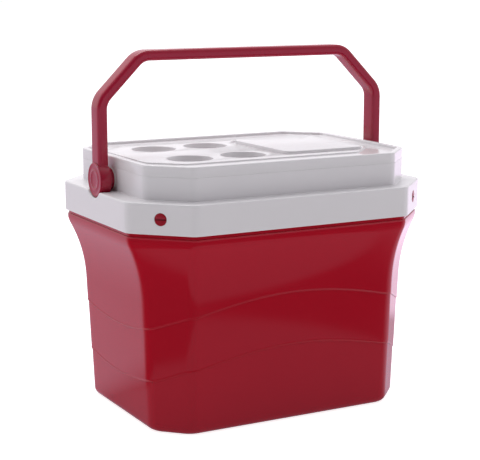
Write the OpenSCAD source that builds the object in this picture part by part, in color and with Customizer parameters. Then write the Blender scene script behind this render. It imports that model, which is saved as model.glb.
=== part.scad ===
// Hand-carry cooler box: a red tub with a white collar, a lift-off lid with
// four cup recesses, and a swinging bail handle.
// Millimetres. +X is the long side, -Y is the front, +Z is up.
// The origin is the centre of the base, on the surface it stands on.

/* [Overall] */
// Length of the collar, the longest plan size
collar_l = 500; // [430:5:620]
// Width of the collar, front to back
collar_w = 380; // [320:5:470]
// Height of the red tub, up to the collar's lower edge
tub_h = 300; // [245:5:370]

/* [Tub] */
// How far the tub's foot stands in from the collar at the short ends
foot_inset_end = 37; // [30:1:45]
// How far the tub's foot stands in from the collar at the front and back
foot_inset_side = 35; // [30:1:45]
// How far each side leans out between the foot and the start of the flare
tub_draft = 12; // [8:0.5:16]
// Height of the flare below the tub's lip
flare_h = 95; // [75:5:115]
// Wall thickness of the tub
shell_t = 2.5; // [2:0.25:4]
// Radius of the tub's bottom edge
foot_r = 11; // [8:1:14]
// Corner cut of the foot, along each side
foot_cut = 46; // [36:1:56]
// Radius of the foot's upright corners
foot_corner_r = 26; // [18:1:30]
// How sharply the flare turns out: 1 is straight
flare_power = 2.2; // [1.6:0.1:3]
// Height of the lip that shows under the collar
lip_h = 10; // [6:1:14]
// How far the lip stands in from the collar's face
lip_inset = 3.4; // [2:0.2:3.8]
// Shadow gap between the lip and the collar
lip_gap = 5; // [3:0.5:7]

/* [Collar] */
// Height of the collar's lower band
band_h = 44.5; // [40:0.5:54]
// Height of the riser above the ledge
riser_h = 33.5; // [30:0.5:42]
// Ledge width at the short ends
ledge_end = 29; // [28:0.5:36]
// Ledge width at the front and back
ledge_side = 23.5; // [22:0.5:30]
// Corner cut of the collar band, along each side
band_cut = 73; // [60:1:88]
// Corner cut of the riser and lid, along each side
riser_cut = 53; // [44:1:62]
// Radius of the upright corners of the collar and the lid
corner_r = 20; // [14:1:24]
// Wall thickness of the collar
collar_t = 3; // [2.5:0.25:4]

/* [Liner] */
// Wall thickness of the inner liner
liner_t = 2; // [2:0.25:3.5]
// Insulation between the riser wall and the liner's mouth
rim_insulation = 24; // [20:1:30]
// How much narrower the liner's floor is than its mouth, each side
liner_draft = 16; // [10:1:20]
// Insulation under the liner's floor
floor_insulation = 25; // [18:1:32]

/* [Lid] */
// Height of the lid's skirt
skirt_h = 16; // [14:0.5:22]
// Width of the raised rim round the lid's top
rim_w = 9; // [6:0.5:12]
// Depth of the trough inside the rim
trough_d = 5; // [3:0.5:6]
// Height of the deck above the trough's floor
deck_h = 2.5; // [1.5:0.5:4]
// Wall thickness of the lid
lid_t = 2.5; // [2:0.25:4]
// Depth of the lid's plug below the riser's top
plug_d = 26; // [18:1:34]
// Gap round the plug inside the liner's mouth
plug_gap = 1.5; // [1:0.25:2.5]
// Shadow gap between the lid's skirt and the riser
skirt_gap = 0.4; // [0.2:0.1:0.8]

/* [Lid top] */
// Radius of a cup recess
cup_r = 34.3; // [30:0.5:36]
// Depth of a cup recess
cup_d = 14; // [10:1:18]
// Spacing of the cup recesses along the lid
cup_pitch_x = 89; // [82:1:94]
// Spacing of the cup recesses across the lid
cup_pitch_y = 125; // [100:1:130]
// Distance of the cup group's centre from the lid's centre
cup_group_x = 78; // [76:1:84]
// Length of the raised panel
panel_l = 139; // [100:1:145]
// Width of the raised panel
panel_w = 176; // [120:1:180]
// Distance of the raised panel's centre from the lid's centre
panel_x = 98; // [92:1:102]
// Height of the raised panel above the deck
panel_h = 3.5; // [2:0.5:5]
// Radius of the raised panel's corners
panel_r = 16; // [10:1:20]
// Width of the trough at the cup end
trough_w = 14; // [10:1:18]
// Width of the deck beyond the raised panel
deck_end = 13; // [8:1:16]
// Width of the deck beyond the cup recesses, front and back
deck_side = 18; // [12:1:24]
// Corner cut of the deck, along each side
deck_cut = 44; // [34:1:54]
// Radius of the deck's corners
deck_r = 14; // [8:1:18]

/* [Handle] */
// Height of the handle's pivot above the ledge
pivot_h = 16; // [16:0.5:22]
// Closest that the bail's inner edge comes to the lid as it folds
fold_gap = 1.5; // [1:0.1:3]
// Thickness of the bail, seen from the front
bail_t = 16; // [12:0.5:18]
// Width of the bail, front to back
bail_w = 29; // [24:0.5:29]
// Gap between each leg and the riser
leg_gap = 9; // [8:0.5:11]
// Radius of the bail's bends on the inside
bend_r = 22; // [14:1:30]
// Radius of the round bosses at the pivots
boss_r = 25; // [20:0.5:26]
// Radius of the hub between each boss and the riser
hub_r = 16; // [13:0.5:18]
// Radius of the bore under each cap
cap_bore_r = 14; // [12:0.5:15]
// Depth of the bore under each cap
cap_bore_d = 7; // [6:0.5:8]
// Radius of the pivot pins
pin_r = 6; // [5:0.25:7]
// Running clearance of the bosses on the pins, on the radius
pin_fit = 0.05; // [0.02:0.01:0.1]
// Thickness of the caps over the pins
cap_t = 2; // [1.5:0.25:4]

/* [Corner screws] */
// Radius of a screw's head
screw_head_r = 9; // [7:0.25:10]
// Width of the driver slot
slot_w = 2.2; // [1.6:0.2:3]
// Depth of the driver slot
slot_d = 1.4; // [1:0.1:1.8]
// Radius of a screw's shank
screw_r = 4; // [3:0.25:5]
// Length of a screw below its head
screw_l = 22; // [18:1:26]

/* [Hidden] */

eps = 0.01;
over = 1;                   // how far a cut runs past the face it opens
arc_steps = 3;              // straight steps in each rounded corner
bend_steps = 5;             // straight steps in each bend of the bail
panel_steps = 6;            // straight steps in each corner of the panel
flare_steps = 6;            // levels in the tub's flare
foam_gap = 0.3;             // foam to any wall beside it
least_r = 2;                // smallest corner radius of an inset plan
left = -1;
right = 1;
front = -1;
back = 1;

// Heights
band_top = tub_h + band_h;
riser_top = band_top + riser_h;
lip_top = tub_h - lip_gap;
lip_bottom = lip_top - lip_h;
flare_bottom = lip_bottom - flare_h;
ledge_under = band_top - collar_t;
shelf_under = riser_top - liner_t - collar_t;
skirt_bottom = riser_top + skirt_gap;
lid_top = riser_top + skirt_h;
trough_z = lid_top - trough_d;
deck_z = trough_z + deck_h;
panel_z = deck_z + panel_h;
lid_under = trough_z - lid_t;
flange_top = riser_top + liner_t;
plug_bottom = riser_top - plug_d;
floor_z = shell_t + floor_insulation;
pivot_z = band_top + pivot_h;
screw_z = tub_h + band_h / 2;

// Plans: [half length, half width, corner cut, corner radius]
band_plan = [collar_l / 2, collar_w / 2, band_cut, corner_r];
riser_plan = [collar_l / 2 - ledge_end, collar_w / 2 - ledge_side, riser_cut, corner_r];
foot_plan = [collar_l / 2 - foot_inset_end, collar_w / 2 - foot_inset_side,
             foot_cut, foot_corner_r];
riser_inner = inset(riser_plan, collar_t);
mouth_plan = inset(riser_plan, collar_t + rim_insulation);
lid_inner = inset(riser_plan, lid_t);
rim_inner = inset(riser_plan, rim_w);

// The plug clears the liner's wall at the plug's own depth
plug_taper = liner_draft * plug_d / (riser_top - floor_z);
plug_plan = inset(mouth_plan, liner_t + plug_taper + plug_gap);
plug_inner = inset(plug_plan, liner_t);

// The tub's neck stands inside the collar band
neck_gap = 1;
neck_plan = inset(band_plan, collar_t + neck_gap);
lip_plan = inset(band_plan, lip_inset);

// The bail folds down flat round the riser. On the way its inner edge swings
// past the lid's rim, which stands above the pivot.
rim_over_pivot = lid_top - pivot_z;
leg_in = riser_plan[0] + leg_gap;
leg_out = leg_in + bail_t;
bar_in = norm([riser_plan[1], rim_over_pivot]) + fold_gap;
bar_out = bar_in + bail_t;
fold_diag = riser_plan[0] + norm([riser_plan[1] - riser_cut, rim_over_pivot])
            + fold_gap * sqrt(2);
leg_end_r = 0.5;

// Pivots, from the riser outwards
washer_t = 1.2;
washer_r = riser_h - pivot_h - over;    // stays below the riser's top
boss_gap = 0.3;
boss_in = riser_plan[0] + washer_t + boss_gap;
notch_r = boss_r + 1.5;
pocket_r = notch_r + collar_t;
pin_head_r = cap_bore_r - 4;
pin_head_t = 3;
pin_in = riser_plan[0] - 12;
bush_r = pin_r + 3;
bush_flange_r = bush_r + 3;
bush_flange_t = 2;
clip_r = bush_flange_r - 1;
clip_t = 1.5;
pin_room = 2;               // foam to the pin, bush and clip

// Caps, on the bail's outer faces
cap_face = cap_t - 0.6;     // height of the flat inside the edge
cap_dish = cap_t - 1;       // height of the dish inside the ring
cap_edge = 1.2;             // size of the edge's bevel
cap_ring_r = boss_r - 12;
cap_ring_w = 1;
cap_skirt_t = 2;
cap_skirt_d = 2.5;

// Deck on the lid: its right end stops short of the rim
deck_left = riser_plan[0] - rim_w - trough_w;
deck_right = panel_x + panel_l / 2 + deck_end;
deck_half_w = cup_pitch_y / 2 + cup_r + deck_side;
cup_wall = 2.5;
cup_centres = [for (sx = [-0.5, 0.5], sy = [-0.5, 0.5])
               [sx * cup_pitch_x - cup_group_x, sy * cup_pitch_y]];

// Corner screws stand square to the corner cuts
head_seat = 2;
head_t = 2.6;
screw_gap = 0.2;            // screw to the holes in the collar
anchor_r = screw_r + 2.5;
anchor_flange_r = anchor_r + 2.5;
anchor_flange_t = 2;
anchor_end = screw_l + 1;
anchor_hole_d = 14;
anchor_gap = 0.2;
function inset(plan, d) =
    [plan[0] - d, plan[1] - d, plan[2] - (2 - sqrt(2)) * d,
     max(plan[3] - d, least_r)];

// The eight corners of a plan, counterclockwise from the right side
function corners(p) = [
    [p[0], p[1] - p[2]], [p[0] - p[2], p[1]],
    [p[2] - p[0], p[1]], [-p[0], p[1] - p[2]],
    [-p[0], p[2] - p[1]], [p[2] - p[0], -p[1]],
    [p[0] - p[2], -p[1]], [p[0], p[2] - p[1]]];

function unit(v) = v / norm(v);

// An arc of radius r that rounds the corner b of a, b, c, in n steps
function corner_arc(a, b, c, r, n) =
    let (u = unit(a - b), v = unit(c - b),
         half = acos(u * v) / 2,
         centre = b + unit(u + v) * r / sin(half),
         first = b + u * r / tan(half) - centre,
         side = sign((b[0] - a[0]) * (c[1] - b[1]) - (b[1] - a[1]) * (c[0] - b[0])),
         turn = side * (180 - 2 * half))
    [for (i = [0:n]) let (g = turn * i / n)
        centre + [first[0] * cos(g) - first[1] * sin(g),
                  first[0] * sin(g) + first[1] * cos(g)]];

function rounded(pts, r, n = arc_steps) =
    let (m = len(pts))
    [for (i = [0:m - 1])
        each corner_arc(pts[(i + m - 1) % m], pts[i], pts[(i + 1) % m],
                        is_list(r) ? r[i] : r, n)];

function outline(plan) = rounded(corners(plan), plan[3]);

function ring(plan, z) = [for (p = outline(plan)) [p[0], p[1], z]];

// A prism on a plan between two heights
module slab(plan, z0, z1) {
    translate([0, 0, z0])
        linear_extrude(height = z1 - z0)
            polygon(outline(plan));
}

// A closed solid through a stack of [plan, height] rings
module stack(levels) {
    k = len(outline(levels[0][0]));
    m = len(levels);
    pts = [for (l = levels) each ring(l[0], l[1])];
    walls = [for (j = [0:m - 2], i = [0:k - 1])
        let (a = j * k + i, b = j * k + (i + 1) % k)
        each [[a, a + k, b + k], [a, b + k, b]]];
    polyhedron(
        points = pts,
        faces = concat([[for (i = [0:k - 1]) i]], walls,
                       [[for (i = [k - 1:-1:0]) (m - 1) * k + i]]));
}

// The tub's plan at a height: a straight draft, then a flare that
// grows as a power of the height
function flare(z) = pow(max(0, (z - flare_bottom) / flare_h), flare_power);

function tub_plan(z) =
    let (t = min(1, z / lip_bottom),
         f = flare(min(z, lip_bottom)),
         lean = tub_draft * t,
         full = foot_plan[0] + tub_draft,
         grow = f * (lip_plan[0] - full),
         out = lean + grow,
         share = out / (lip_plan[0] - foot_plan[0]))
    [foot_plan[0] + out,
     foot_plan[1] + share * (lip_plan[1] - foot_plan[1]),
     foot_plan[2] + share * (lip_plan[2] - foot_plan[2]),
     foot_plan[3] + share * (lip_plan[3] - foot_plan[3])];

flare_levels = [for (i = [0:flare_steps]) flare_bottom + flare_h * i / flare_steps];

// Rings up the tub, inset by d, over a rounded bottom edge of radius r
function tub_levels(d, z_floor, r) = concat(
    [for (i = [0:3]) let (g = i * 30, z = z_floor + r * (1 - cos(g)))
        [inset(tub_plan(z), d + r * (1 - sin(g))), z]],
    [for (z = flare_levels) [inset(tub_plan(z), d), z]]);

module screw_axis(sx, sy) {
    translate([sx * (collar_l - band_cut) / 2, sy * (collar_w - band_cut) / 2, screw_z])
        rotate([0, 0, atan2(sy, sx)])
            rotate([0, 90, 0])
                children();
}

module each_corner() {
    for (sx = [left, right], sy = [front, back])
        screw_axis(sx, sy) children();
}

// Along X from the plane x = 0 outwards, at the pivot's height
module pivot_axis(side) {
    translate([0, 0, pivot_z])
        rotate([0, side * 90, 0])
            children();
}

module each_pivot() {
    for (side = [left, right])
        pivot_axis(side) children();
}

// A disc between two distances from the middle of the box
module drum(r, x0, x1) {
    translate([0, 0, x0])
        cylinder(r = r, h = x1 - x0, $fn = 64);
}

module outer_shell() {
    color("crimson")
    difference() {
        union() {
            stack(concat(tub_levels(0, 0, foot_r), [[tub_plan(lip_top), lip_top]]));
            slab(neck_plan, lip_bottom, ledge_under);
        }
        stack(concat(tub_levels(shell_t, shell_t, foot_r - shell_t),
                     [[inset(neck_plan, shell_t), lip_bottom + shell_t],
                      [inset(neck_plan, shell_t), band_top]]));
        each_corner()
            translate([0, 0, -anchor_hole_d])
                cylinder(r = anchor_r + anchor_gap, h = anchor_hole_d, $fn = 48);
        each_pivot()
            drum(pocket_r + foam_gap, riser_plan[0] - collar_t, collar_l);
    }
}

module body_foam() {
    color("ivory")
    difference() {
        stack(concat(
            tub_levels(shell_t + foam_gap, shell_t, foot_r - shell_t),
            [[inset(neck_plan, shell_t + foam_gap), lip_bottom + shell_t],
             [inset(neck_plan, shell_t + foam_gap), ledge_under - foam_gap],
             [inset(riser_inner, foam_gap), ledge_under - foam_gap],
             [inset(riser_inner, foam_gap), shelf_under]]));
        liner_tub(-foam_gap, floor_z, riser_top);
        each_corner()
            translate([0, 0, -screw_l - collar_t])
                cylinder(r = anchor_flange_r + foam_gap, h = 2 * screw_l, $fn = 48);
        each_pivot() {
            drum(pocket_r + foam_gap, riser_inner[0] - foam_gap, collar_l);
            drum(bush_flange_r + pin_room, pin_in - pin_room, collar_l);
        }
    }
}

// The liner's outer plan at a height: it narrows evenly to its floor
function liner_plan(z) =
    inset(mouth_plan, liner_draft * (riser_top - z) / (riser_top - floor_z));

// The tapered space of the liner, inset by d from its outer face
module liner_tub(d, z0, z1) {
    stack([for (z = [z0, z1]) [inset(liner_plan(z), d), z]]);
}

module inner_liner() {
    color("white")
    difference() {
        stack([[liner_plan(floor_z), floor_z],
               [liner_plan(riser_top - liner_t), riser_top - liner_t],
               [riser_inner, riser_top - liner_t],
               [riser_inner, riser_top]]);
        liner_tub(liner_t, floor_z + liner_t, riser_top + over);
    }
}

module collar() {
    color("white")
    difference() {
        union() {
            difference() {
                union() {
                    slab(band_plan, tub_h, band_top);
                    slab(riser_plan, ledge_under, riser_top);
                }
                slab(inset(band_plan, collar_t), tub_h - eps, ledge_under);
                slab(riser_inner, tub_h - eps, shelf_under);
                slab(riser_inner, riser_top - liner_t, riser_top + eps);
                slab(inset(mouth_plan, -foam_gap), tub_h, riser_top + eps);
            }
            // Pockets under the round notches in the ledge
            intersection() {
                each_pivot() drum(pocket_r, riser_plan[0] - collar_t, collar_l / 2 - eps);
                slab(band_plan, tub_h, ledge_under + eps);
            }
        }
        each_pivot() {
            drum(notch_r, riser_plan[0], collar_l);
            drum(bush_r, riser_plan[0] - 2 * collar_t, riser_plan[0] + eps);
        }
        each_corner() {
            translate([0, 0, -head_seat])
                cylinder(r = screw_head_r + screw_gap, h = screw_l, $fn = 48);
            translate([0, 0, -2 * collar_t])
                cylinder(r = screw_r + screw_gap, h = screw_l, $fn = 48);
        }
    }
}

module deck_outline() {
    x0 = -deck_left;
    x1 = deck_right;
    w = deck_half_w;
    c = deck_cut;
    polygon(rounded([[x1, c - w], [x1, w - c], [x1 - c, w], [x0 + c, w],
                     [x0, w - c], [x0, c - w], [x0 + c, -w], [x1 - c, -w]], deck_r));
}

// The panel's outline, inset by d
module panel_outline(d = 0) {
    x0 = panel_x - panel_l / 2 + d;
    x1 = panel_x + panel_l / 2 - d;
    w = panel_w / 2 - d;
    polygon(rounded([[x1, -w], [x1, w], [x0, w], [x0, -w]], panel_r - d, panel_steps));
}

module lid_cover() {
    color("white")
    difference() {
        union() {
            difference() {
                slab(riser_plan, skirt_bottom, lid_top);
                slab(lid_inner, skirt_bottom - eps, lid_under);
                slab(rim_inner, trough_z, lid_top + eps);
            }
            translate([0, 0, lid_under])
                linear_extrude(height = deck_z - lid_under) deck_outline();
            translate([0, 0, lid_under])
                linear_extrude(height = panel_z - lid_under) panel_outline();
            for (c = cup_centres)
                translate([c[0], c[1], deck_z - cup_d - cup_wall])
                    cylinder(r = cup_r + cup_wall, h = cup_d, $fn = 96);
        }
        for (c = cup_centres)
            translate([c[0], c[1], deck_z - cup_d])
                cylinder(r = cup_r, h = cup_d + over, $fn = 96);
        translate([0, 0, lid_under - eps])
            linear_extrude(height = panel_z - lid_t - lid_under) panel_outline(lid_t);
    }
}

module lid_foam() {
    color("ivory")
    difference() {
        union() {
            slab(lid_inner, flange_top, lid_under);
            slab(inset(plug_inner, foam_gap), plug_bottom + liner_t, lid_under);
            translate([0, 0, riser_top])
                linear_extrude(height = panel_z - lid_t - foam_gap - riser_top)
                    panel_outline(lid_t + foam_gap);
        }
        for (c = cup_centres)
            translate([c[0], c[1], deck_z - cup_d - cup_wall])
                cylinder(r = cup_r + cup_wall + foam_gap, h = lid_top, $fn = 96);
    }
}

module lid_liner() {
    color("white")
    difference() {
        union() {
            slab(lid_inner, riser_top, flange_top);
            slab(plug_plan, plug_bottom, flange_top);
        }
        slab(plug_inner, plug_bottom + liner_t, flange_top + eps);
    }
}

// The bail stands upright: two legs, two slanting shoulders and a bar,
// whose inner edge follows the riser when it is folded down
module bail_outline() {
    shoulder = fold_diag + bail_t * sqrt(2);
    outer_r = bend_r + bail_t / 2;
    polygon(rounded([
        [leg_out, 0], [leg_out, shoulder - leg_out], [shoulder - bar_out, bar_out],
        [bar_out - shoulder, bar_out], [-leg_out, shoulder - leg_out], [-leg_out, 0],
        [-leg_in, 0], [-leg_in, fold_diag - leg_in], [bar_in - fold_diag, bar_in],
        [fold_diag - bar_in, bar_in], [leg_in, fold_diag - leg_in], [leg_in, 0]],
        [leg_end_r, outer_r, outer_r, outer_r, outer_r, leg_end_r,
         leg_end_r, bend_r, bend_r, bend_r, bend_r, leg_end_r], bend_steps));
}

module handle() {
    color("firebrick")
    difference() {
        union() {
            translate([0, 0, pivot_z])
                rotate([90, 0, 0])
                    linear_extrude(height = bail_w, center = true) bail_outline();
            each_pivot() {
                drum(boss_r, leg_in, leg_out);
                drum(hub_r, boss_in, leg_in + eps);
            }
        }
        each_pivot() {
            drum(pin_r + pin_fit, boss_in - over, collar_l);
            drum(cap_bore_r, leg_out - cap_bore_d, collar_l);
        }
    }
}

// A round cap with a raised ring, and a skirt that fits the boss's bore
module handle_cap(side) {
    skirt_in = cap_bore_r - cap_skirt_t;
    color("firebrick")
    pivot_axis(side)
        translate([0, 0, leg_out])
            rotate_extrude($fn = 96)
                polygon([[0, 0], [skirt_in, 0], [skirt_in, -cap_skirt_d],
                         [cap_bore_r, -cap_skirt_d], [cap_bore_r, 0], [boss_r, 0],
                         [boss_r, cap_t - cap_edge], [boss_r - cap_edge, cap_face],
                         [cap_ring_r + 2 * cap_ring_w, cap_face],
                         [cap_ring_r + cap_ring_w, cap_t], [cap_ring_r, cap_t],
                         [cap_ring_r - cap_ring_w, cap_dish], [0, cap_dish]]);
}

module pivot_pin(side) {
    head_x = leg_out - cap_bore_d + boss_gap;
    color("silver")
    pivot_axis(side) {
        drum(pin_r, pin_in, head_x + eps);
        drum(pin_head_r, head_x, head_x + pin_head_t);
    }
}

module pivot_washer(side) {
    color("gainsboro")
    pivot_axis(side)
        difference() {
            drum(washer_r, riser_plan[0], riser_plan[0] + washer_t);
            drum(pin_r, riser_plan[0] - over, boss_in + over);
        }
}

module pivot_bush(side) {
    wall_in = riser_plan[0] - collar_t;
    color("gainsboro")
    pivot_axis(side)
        difference() {
            union() {
                drum(bush_r, wall_in - eps, riser_plan[0]);
                drum(bush_flange_r, wall_in - bush_flange_t, wall_in);
            }
            drum(pin_r, pin_in, collar_l);
        }
}

module pivot_clip(side) {
    x1 = riser_plan[0] - collar_t - bush_flange_t;
    color("silver")
    pivot_axis(side)
        difference() {
            drum(clip_r, x1 - clip_t, x1);
            drum(pin_r, pin_in, collar_l);
        }
}

module screw(sx, sy) {
    color("crimson")
    screw_axis(sx, sy)
        difference() {
            union() {
                translate([0, 0, -head_seat])
                    cylinder(r = screw_head_r, h = head_t, $fn = 48);
                translate([0, 0, -screw_l])
                    cylinder(r = screw_r, h = screw_l, $fn = 48);
            }
            // The driver slot
            translate([-screw_head_r, -slot_w / 2, head_t - head_seat - slot_d])
                cube([2 * screw_head_r, slot_w, head_t]);
        }
}

module anchor(sx, sy) {
    // The flange bears on the inside of the neck
    flange_z = -(collar_t + neck_gap + shell_t);
    color("gainsboro")
    screw_axis(sx, sy)
        difference() {
            union() {
                translate([0, 0, -anchor_end])
                    cylinder(r = anchor_r, h = anchor_end - collar_t, $fn = 48);
                translate([0, 0, flange_z - anchor_flange_t])
                    cylinder(r = anchor_flange_r, h = anchor_flange_t, $fn = 48);
            }
            translate([0, 0, -screw_l])
                cylinder(r = screw_r, h = 2 * screw_l, $fn = 48);
        }
}

outer_shell();
body_foam();
inner_liner();
collar();
lid_cover();
lid_foam();
lid_liner();
handle();
handle_cap(left);  // handle_cap_left
handle_cap(right);  // handle_cap_right
pivot_pin(left);  // pivot_pin_left
pivot_pin(right);  // pivot_pin_right
pivot_washer(left);  // pivot_washer_left
pivot_washer(right);  // pivot_washer_right
pivot_bush(left);  // pivot_bush_left
pivot_bush(right);  // pivot_bush_right
pivot_clip(left);  // pivot_clip_left
pivot_clip(right);  // pivot_clip_right
screw(left, front);  // screw_front_left
screw(right, front);  // screw_front_right
screw(left, back);  // screw_back_left
screw(right, back);  // screw_back_right
anchor(left, front);  // anchor_front_left
anchor(right, front);  // anchor_front_right
anchor(left, back);  // anchor_back_left
anchor(right, back);  // anchor_back_right
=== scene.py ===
# %% [markdown]
# # A hand-carry cooler box
#
# The box is a red blow-moulded tub, a white stepped collar, a white lift-off lid with four
# cup recesses, and a red bail handle that swings on two pivots. The solid model gives every
# size and every joint, so this script only makes the skins that are seen, their finishes,
# the light and the camera. All lengths are in metres, +X is the long side and -Y the front.

import math

import bmesh
import bpy
import numpy as np
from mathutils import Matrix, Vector
from mathutils.geometry import tessellate_polygon


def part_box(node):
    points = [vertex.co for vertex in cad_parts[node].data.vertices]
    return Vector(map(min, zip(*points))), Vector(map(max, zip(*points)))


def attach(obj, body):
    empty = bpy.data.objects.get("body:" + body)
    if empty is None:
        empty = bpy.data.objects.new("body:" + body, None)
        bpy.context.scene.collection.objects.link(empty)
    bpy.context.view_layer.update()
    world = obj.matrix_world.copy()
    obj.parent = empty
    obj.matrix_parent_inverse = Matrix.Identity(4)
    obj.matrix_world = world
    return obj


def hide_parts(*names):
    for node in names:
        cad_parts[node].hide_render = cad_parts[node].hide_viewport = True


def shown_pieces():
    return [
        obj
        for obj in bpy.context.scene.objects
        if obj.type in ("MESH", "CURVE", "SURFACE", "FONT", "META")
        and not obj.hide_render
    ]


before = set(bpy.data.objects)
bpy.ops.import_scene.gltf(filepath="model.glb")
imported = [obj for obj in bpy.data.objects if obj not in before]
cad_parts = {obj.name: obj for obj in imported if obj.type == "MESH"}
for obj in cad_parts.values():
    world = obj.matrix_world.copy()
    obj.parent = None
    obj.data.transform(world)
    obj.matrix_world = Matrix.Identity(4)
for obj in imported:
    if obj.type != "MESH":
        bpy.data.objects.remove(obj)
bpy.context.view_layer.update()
MM = 0.001

# %% [markdown]
# ## Outlines
#
# Seen from above, every level of the box is a rectangle with its corners cut off, and each
# of the eight corners that leaves is rounded. An outline could be drawn as a curve, but an
# array of points is better here: two outlines with the same number of points on each side
# can be joined point to point, and any mix of the two is again such an outline.


# %% Rounded outlines
def even(count):
    """Fractions from 0 up to, but not including, 1."""
    return np.arange(count) / count


def rounded(corners, radii, spreads, arc=8):
    """Points round a polygon with rounded corners, counterclockwise.

    The arc at a corner touches both sides at the radius times the tangent of half the turn.
    Its centre lies a radius to the left of the first touching point. The straight that
    follows is cut at the fractions in that side's spread.
    """
    c = np.asarray(corners, float)
    r = np.broadcast_to(np.asarray(radii, float), len(c))
    ahead = np.roll(c, -1, 0) - c
    ahead /= np.linalg.norm(ahead, axis=1)[:, None]
    behind = np.roll(ahead, 1, 0)
    turn = np.arctan2(behind[:, 0] * ahead[:, 1] - behind[:, 1] * ahead[:, 0],
                      (behind * ahead).sum(1))
    touch = (r * np.tan(turn / 2))[:, None]
    start, end = c - behind * touch, c + ahead * touch
    left = np.stack([-behind[:, 1], behind[:, 0]], 1)
    centre = start + left * r[:, None]
    parts = []
    for i in range(len(c)):
        g = turn[i] * even(arc)[:, None]
        parts.append(centre[i] - left[i] * r[i] * np.cos(g) + behind[i] * r[i] * np.sin(g))
        f = np.asarray(spreads[i])[:, None]
        parts.append(end[i] * (1 - f) + np.roll(start, -1, 0)[i] * f)
    return np.concatenate(parts)


EVEN_SPREADS = [even(28)] * 8
# The two ends have more points in the middle, where the handle's boss sits in a notch
PLAIN_SHARE = 0.36
NOTCH_SPREAD = np.concatenate([PLAIN_SHARE * even(8),
                               PLAIN_SHARE + (1 - 2 * PLAIN_SHARE) * even(48),
                               1 - PLAIN_SHARE + PLAIN_SHARE * even(8)])
COLLAR_SPREADS = [even(10), even(28), even(10), NOTCH_SPREAD] * 2


def cut_rectangle(x0, x1, half_w, cut):
    """The eight corners of a rectangle with cut corners, counterclockwise from the right."""
    return np.array([
        [x1, half_w - cut], [x1 - cut, half_w], [x0 + cut, half_w], [x0, half_w - cut],
        [x0, cut - half_w], [x0 + cut, -half_w], [x1 - cut, -half_w], [x1, cut - half_w]])


def plan(half_l, half_w, cut, radius, inset=0.0, spreads=EVEN_SPREADS):
    """A symmetrical outline, moved in by inset: the cut shrinks by 2 - sqrt(2) of it."""
    corners = cut_rectangle(inset - half_l, half_l - inset, half_w - inset,
                            cut - (2 - math.sqrt(2)) * inset)
    least_radius = 2 * MM
    return rounded(corners, max(radius - inset, least_radius), spreads)


def box_corners(x0, half_l, half_w):
    """The four corners of a rectangle whose middle is at x0, counterclockwise."""
    return [(x0 + sx * half_l, sy * half_w)
            for sx, sy in ((1, -1), (1, 1), (-1, 1), (-1, -1))]


# %% [markdown]
# ## Skins
#
# A moulded part is a skin that follows a profile all the way round. Lathe and sweep tools
# need a curve object for each one. Here a skin is a grid instead: one row of points for each
# level of the profile, one column for each point of the outline. Where a skin ends on a flat
# face with holes in it, the loops are filled with triangles.


# %% Skins from rows of points
class Skin:
    """Gathers grids, fills and poles, and makes one mesh of them."""

    def __init__(self):
        self.points, self.faces, self.smooth, self.count = [], [], [], 0

    def add(self, points, faces, smooth):
        self.points.append(np.asarray(points, float).reshape(-1, 3))
        self.faces.append(np.asarray(faces) + self.count)
        self.smooth.append(np.full(len(faces), smooth))
        self.count += len(self.points[-1])

    def grid(self, rows, wrap=False):
        """Quads between each row and the next; wrap joins the last row to the first."""
        rows = np.asarray(rows, float)
        m, n = rows.shape[:2]
        i = np.arange(m if wrap else m - 1)[:, None]
        j = np.arange(n)[None]
        up, along = (i + 1) % m, (j + 1) % n
        quads = np.stack([i * n + j, i * n + along, up * n + along, up * n + j], -1)
        self.add(rows, quads.reshape(-1, 4), True)

    def pole(self, row, first):
        """A fan from a row to its middle; first says that the skin starts there."""
        row = np.asarray(row, float)
        n = len(row)
        j = np.arange(n)
        along = (j + 1) % n
        fan = [along, j] if first else [j, along]
        self.add(np.vstack([row, row.mean(0)]), np.stack([*fan, np.full(n, n)], 1), False)

    def fill(self, loop, holes, upwards):
        """Triangles over a level loop with holes in it, facing up or down."""
        loops = [loop, *holes]
        tris = np.array(tessellate_polygon([[Vector(p) for p in one] for one in loops]))
        points = np.concatenate(loops)
        a, b, c = (points[tris[:, k]] for k in range(3))
        turn = np.cross(b - a, c - a)[:, 2]
        wrong = (turn < 0) if upwards else (turn > 0)
        tris[wrong] = tris[wrong][:, ::-1]
        self.add(points, tris, False)

    def build(self, name, merge=0.01 * MM, sharp=50):
        """The mesh object, with points that meet merged and edges over sharp degrees kept."""
        mesh = bpy.data.meshes.new(name)
        faces = [f for group in self.faces for f in group.tolist()]
        mesh.from_pydata(np.concatenate(self.points), [], faces)
        mesh.polygons.foreach_set("use_smooth", np.concatenate(self.smooth))
        bm = bmesh.new()
        bm.from_mesh(mesh)
        bmesh.ops.remove_doubles(bm, verts=bm.verts, dist=merge)
        bm.to_mesh(mesh)
        bm.free()
        mesh.set_sharp_from_angle(angle=math.radians(sharp))
        obj = bpy.data.objects.new(name, mesh)
        bpy.context.scene.collection.objects.link(obj)
        print(f"{name}: {len(mesh.vertices)} points, {len(mesh.polygons)} faces")
        return obj


def capped(rows):
    """A skin over the rows, with a pole at each end."""
    skin = Skin()
    skin.grid(rows)
    skin.pole(rows[0], first=True)
    skin.pole(rows[-1], first=False)
    return skin


def level(outline, z):
    """An outline at a height, or at one height for each of its points."""
    return np.column_stack([outline, np.broadcast_to(z, len(outline))])


def quarter(steps=4):
    """(sine, cosine) of a quarter turn in even steps, for a rounded edge."""
    g = np.linspace(0, math.pi / 2, steps + 1)
    return list(zip(np.sin(g), np.cos(g)))


# %% [markdown]
# ## Sizes from the solid model
#
# The boxes of the solid parts give where each level starts and ends, so that the skins sit
# exactly where the solids are. Only the corner cuts and the edge radii are stated here.

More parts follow.
